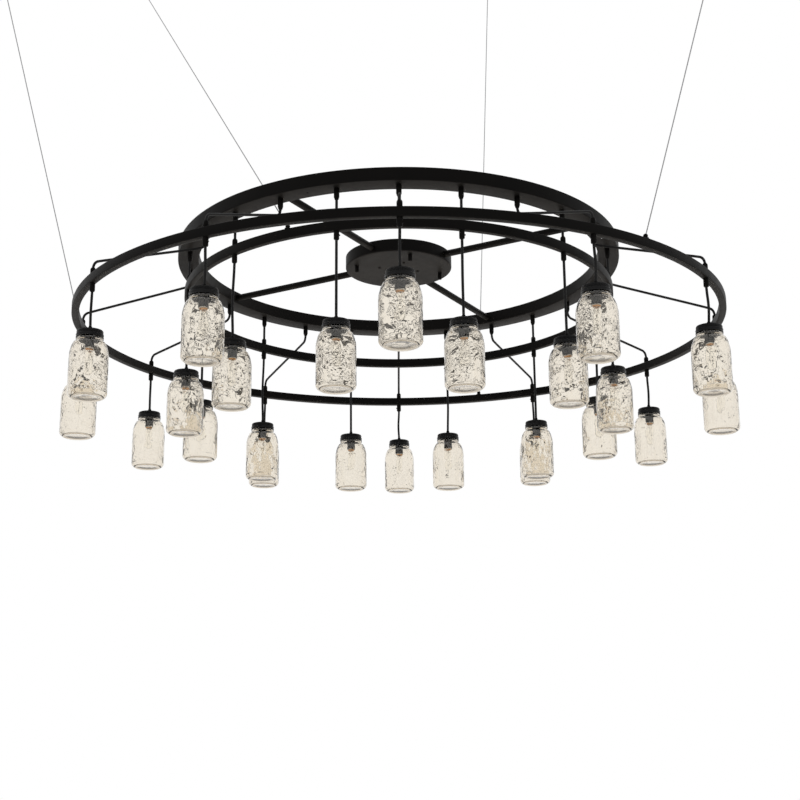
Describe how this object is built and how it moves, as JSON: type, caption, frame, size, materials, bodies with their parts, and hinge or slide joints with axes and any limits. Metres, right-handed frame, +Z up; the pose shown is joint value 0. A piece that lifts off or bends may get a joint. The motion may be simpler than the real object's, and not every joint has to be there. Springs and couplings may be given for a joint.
{
  "type": "chandelier",
  "caption": "Two-tier ring chandelier of glass jar lamps, hung on cords from a spoked ceiling ring and on thin steel cables.",
  "frame": {"origin": "middle of the hub's top face, where it meets the ceiling", "axes": "+Z up into the ceiling, -Y towards the front lamp"},
  "size_m": [2.1252, 1.9078, 2.074],
  "materials": {
    "black_metal": "satin black powder coat",
    "zinc_plate": "zinc plated",
    "black_cord": "matt black jacket",
    "steel_cable": "galvanised wire",
    "black_lid": "gloss black",
    "jar_glass": "clear pressed glass"
  },
  "bodies": {
    "root": {"ceiling_ring": "black_metal", "hub_canopy": "black_metal", "hub_backplate": "zinc_plate", "canopy_fasteners": "black_metal", "spokes": "black_metal", "ceiling_grips": "black_metal", "inner_ring": "black_metal", "outer_ring": "black_metal", "ring_grips": "black_metal", "feed_cords": "black_cord", "suspension_cables": "steel_cable", "cable_fittings": "steel_cable"},
    "pendant_01": {"lamp_01": "black_lid", "jar_01": "jar_glass"},
    "pendant_02": {"lamp_02": "black_lid", "jar_02": "jar_glass"},
    "pendant_03": {"lamp_03": "black_lid", "jar_03": "jar_glass"},
    "pendant_04": {"lamp_04": "black_lid", "jar_04": "jar_glass"},
    "pendant_05": {"lamp_05": "black_lid", "jar_05": "jar_glass"},
    "pendant_06": {"lamp_06": "black_lid", "jar_06": "jar_glass"},
    "pendant_07": {"lamp_07": "black_lid", "jar_07": "jar_glass"},
    "pendant_08": {"lamp_08": "black_lid", "jar_08": "jar_glass"},
    "pendant_09": {"lamp_09": "black_lid", "jar_09": "jar_glass"},
    "pendant_10": {"lamp_10": "black_lid", "jar_10": "jar_glass"},
    "pendant_11": {"lamp_11": "black_lid", "jar_11": "jar_glass"},
    "pendant_12": {"lamp_12": "black_lid", "jar_12": "jar_glass"},
    "pendant_13": {"lamp_13": "black_lid", "jar_13": "jar_glass"},
    "pendant_14": {"lamp_14": "black_lid", "jar_14": "jar_glass"},
    "pendant_15": {"lamp_15": "black_lid", "jar_15": "jar_glass"},
    "pendant_16": {"lamp_16": "black_lid", "jar_16": "jar_glass"},
    "pendant_17": {"lamp_17": "black_lid", "jar_17": "jar_glass"},
    "pendant_18": {"lamp_18": "black_lid", "jar_18": "jar_glass"},
    "pendant_19": {"lamp_19": "black_lid", "jar_19": "jar_glass"},
    "pendant_20": {"lamp_20": "black_lid", "jar_20": "jar_glass"},
    "pendant_21": {"lamp_21": "black_lid", "jar_21": "jar_glass"},
    "pendant_22": {"lamp_22": "black_lid", "jar_22": "jar_glass"},
    "pendant_23": {"lamp_23": "black_lid", "jar_23": "jar_glass"},
    "pendant_24": {"lamp_24": "black_lid", "jar_24": "jar_glass"}
  },
  "joints": [
    {"name": "swing_01", "type": "hinge", "parent": "root", "child": "pendant_01", "pos_m": [0, -0.90286, -0.26924], "axis": [1, 0, 0], "range_deg": [-15, 15]},
    {"name": "swing_02", "type": "hinge", "parent": "root", "child": "pendant_02", "pos_m": [0.45225, -0.78173, -0.26585], "axis": [0.866, 0.5, 0], "range_deg": [-15, 15]},
    {"name": "swing_03", "type": "hinge", "parent": "root", "child": "pendant_03", "pos_m": [0.78332, -0.45079, -0.25661], "axis": [0.5, 0.866, 0], "range_deg": [-15, 15]},
    {"name": "swing_04", "type": "hinge", "parent": "root", "child": "pendant_04", "pos_m": [0.9045, 0.00128, -0.24398], "axis": [0, 1, 0], "range_deg": [-15, 15]},
    {"name": "swing_05", "type": "hinge", "parent": "root", "child": "pendant_05", "pos_m": [0.78332, 0.45336, -0.23136], "axis": [-0.5, 0.866, 0], "range_deg": [-15, 15]},
    {"name": "swing_06", "type": "hinge", "parent": "root", "child": "pendant_06", "pos_m": [0.45225, 0.7843, -0.22211], "axis": [-0.866, 0.5, 0], "range_deg": [-15, 15]},
    {"name": "swing_07", "type": "hinge", "parent": "root", "child": "pendant_07", "pos_m": [0, 0.90543, -0.21873], "axis": [-1, 0, 0], "range_deg": [-15, 15]},
    {"name": "swing_08", "type": "hinge", "parent": "root", "child": "pendant_08", "pos_m": [-0.45225, 0.7843, -0.22211], "axis": [-0.866, -0.5, 0], "range_deg": [-15, 15]},
    {"name": "swing_09", "type": "hinge", "parent": "root", "child": "pendant_09", "pos_m": [-0.78332, 0.45336, -0.23136], "axis": [-0.5, -0.866, 0], "range_deg": [-15, 15]},
    {"name": "swing_10", "type": "hinge", "parent": "root", "child": "pendant_10", "pos_m": [-0.9045, 0.00128, -0.24398], "axis": [0, -1, 0], "range_deg": [-15, 15]},
    {"name": "swing_11", "type": "hinge", "parent": "root", "child": "pendant_11", "pos_m": [-0.78332, -0.45079, -0.25661], "axis": [0.5, -0.866, 0], "range_deg": [-15, 15]},
    {"name": "swing_12", "type": "hinge", "parent": "root", "child": "pendant_12", "pos_m": [-0.45225, -0.78173, -0.26585], "axis": [0.866, -0.5, 0], "range_deg": [-15, 15]},
    {"name": "swing_13", "type": "hinge", "parent": "root", "child": "pendant_13", "pos_m": [0.15568, -0.581, -0.172], "axis": [0.9659, 0.2588, 0], "range_deg": [-15, 15]},
    {"name": "swing_14", "type": "hinge", "parent": "root", "child": "pendant_14", "pos_m": [0.42533, -0.42533, -0.172], "axis": [0.7071, 0.7071, 0], "range_deg": [-15, 15]},
    {"name": "swing_15", "type": "hinge", "parent": "root", "child": "pendant_15", "pos_m": [0.581, -0.15568, -0.172], "axis": [0.2588, 0.9659, 0], "range_deg": [-15, 15]},
    {"name": "swing_16", "type": "hinge", "parent": "root", "child": "pendant_16", "pos_m": [0.581, 0.15568, -0.172], "axis": [-0.2588, 0.9659, 0], "range_deg": [-15, 15]},
    {"name": "swing_17", "type": "hinge", "parent": "root", "child": "pendant_17", "pos_m": [0.42533, 0.42533, -0.172], "axis": [-0.7071, 0.7071, 0], "range_deg": [-15, 15]},
    {"name": "swing_18", "type": "hinge", "parent": "root", "child": "pendant_18", "pos_m": [0.15568, 0.581, -0.172], "axis": [-0.9659, 0.2588, 0], "range_deg": [-15, 15]},
    {"name": "swing_19", "type": "hinge", "parent": "root", "child": "pendant_19", "pos_m": [-0.15568, 0.581, -0.172], "axis": [-0.9659, -0.2588, 0], "range_deg": [-15, 15]},
    {"name": "swing_20", "type": "hinge", "parent": "root", "child": "pendant_20", "pos_m": [-0.42533, 0.42533, -0.172], "axis": [-0.7071, -0.7071, 0], "range_deg": [-15, 15]},
    {"name": "swing_21", "type": "hinge", "parent": "root", "child": "pendant_21", "pos_m": [-0.581, 0.15568, -0.172], "axis": [-0.2588, -0.9659, 0], "range_deg": [-15, 15]},
    {"name": "swing_22", "type": "hinge", "parent": "root", "child": "pendant_22", "pos_m": [-0.581, -0.15568, -0.172], "axis": [0.2588, -0.9659, 0], "range_deg": [-15, 15]},
    {"name": "swing_23", "type": "hinge", "parent": "root", "child": "pendant_23", "pos_m": [-0.42533, -0.42533, -0.172], "axis": [0.7071, -0.7071, 0], "range_deg": [-15, 15]},
    {"name": "swing_24", "type": "hinge", "parent": "root", "child": "pendant_24", "pos_m": [-0.15568, -0.581, -0.172], "axis": [0.9659, -0.2588, 0], "range_deg": [-15, 15]}
  ]
}
